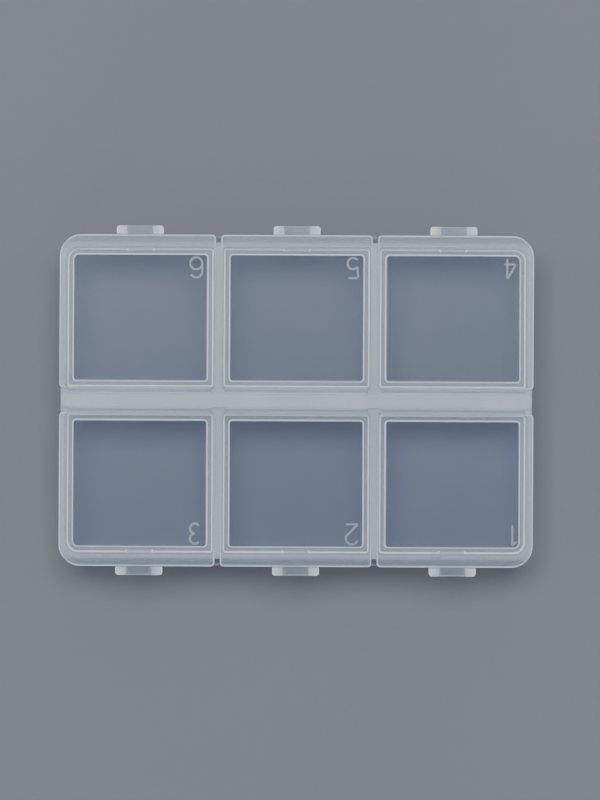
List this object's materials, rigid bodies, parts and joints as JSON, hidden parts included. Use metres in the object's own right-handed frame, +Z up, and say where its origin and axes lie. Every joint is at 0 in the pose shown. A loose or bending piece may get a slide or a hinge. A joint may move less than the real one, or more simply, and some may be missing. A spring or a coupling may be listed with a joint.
{
  "type": "lidded compartment organizer",
  "caption": "Flat frosted plastic box of square compartments, each with its own numbered flip lid on a living hinge beside a central spine and a thumb tab at the outer edge.",
  "frame": {"origin": "centre of the underside of the box", "axes": "+Z up through the lids, X along the spine and the long sides, the raised numbers read upright from -Y: numbers 1 to 3 behind the spine (+Y) and 4 to 6 in front of it, left (-X) to right (+X)"},
  "size_m": [0.088, 0.0648, 0.0181],
  "materials": {
    "tray_plastic": "frosted natural polypropylene, satin, see-through where it is thin",
    "lid_plastic": "frosted natural polypropylene, satin top, see-through windows with milky edges",
    "film_plastic": "frosted natural polypropylene, a thin bent film"
  },
  "bodies": {
    "root": {"tray": "tray_plastic", "hinge_spine": "lid_plastic", "hinge_film_1": "film_plastic", "hinge_film_2": "film_plastic", "hinge_film_3": "film_plastic", "hinge_film_4": "film_plastic", "hinge_film_5": "film_plastic", "hinge_film_6": "film_plastic"},
    "lid_1_body": {"lid_1": "lid_plastic"},
    "lid_2_body": {"lid_2": "lid_plastic"},
    "lid_3_body": {"lid_3": "lid_plastic"},
    "lid_4_body": {"lid_4": "lid_plastic"},
    "lid_5_body": {"lid_5": "lid_plastic"},
    "lid_6_body": {"lid_6": "lid_plastic"}
  },
  "joints": [
    {"name": "lid_1_hinge", "type": "hinge", "parent": "root", "child": "lid_1_body", "pos_m": [-0.0291, 0.0018, 0.0177], "axis": [1, 0, 0], "range_deg": [0, 90], "deforming": ["hinge_film_1"]},
    {"name": "lid_2_hinge", "type": "hinge", "parent": "root", "child": "lid_2_body", "pos_m": [0, 0.0018, 0.0177], "axis": [1, 0, 0], "range_deg": [0, 90], "deforming": ["hinge_film_2"]},
    {"name": "lid_3_hinge", "type": "hinge", "parent": "root", "child": "lid_3_body", "pos_m": [0.0291, 0.0018, 0.0177], "axis": [1, 0, 0], "range_deg": [0, 90], "deforming": ["hinge_film_3"]},
    {"name": "lid_4_hinge", "type": "hinge", "parent": "root", "child": "lid_4_body", "pos_m": [-0.0291, -0.0018, 0.0177], "axis": [-1, 0, 0], "range_deg": [0, 90], "deforming": ["hinge_film_4"]},
    {"name": "lid_5_hinge", "type": "hinge", "parent": "root", "child": "lid_5_body", "pos_m": [0, -0.0018, 0.0177], "axis": [-1, 0, 0], "range_deg": [0, 90], "deforming": ["hinge_film_5"]},
    {"name": "lid_6_hinge", "type": "hinge", "parent": "root", "child": "lid_6_body", "pos_m": [0.0291, -0.0018, 0.0177], "axis": [-1, 0, 0], "range_deg": [0, 90], "deforming": ["hinge_film_6"]}
  ]
}
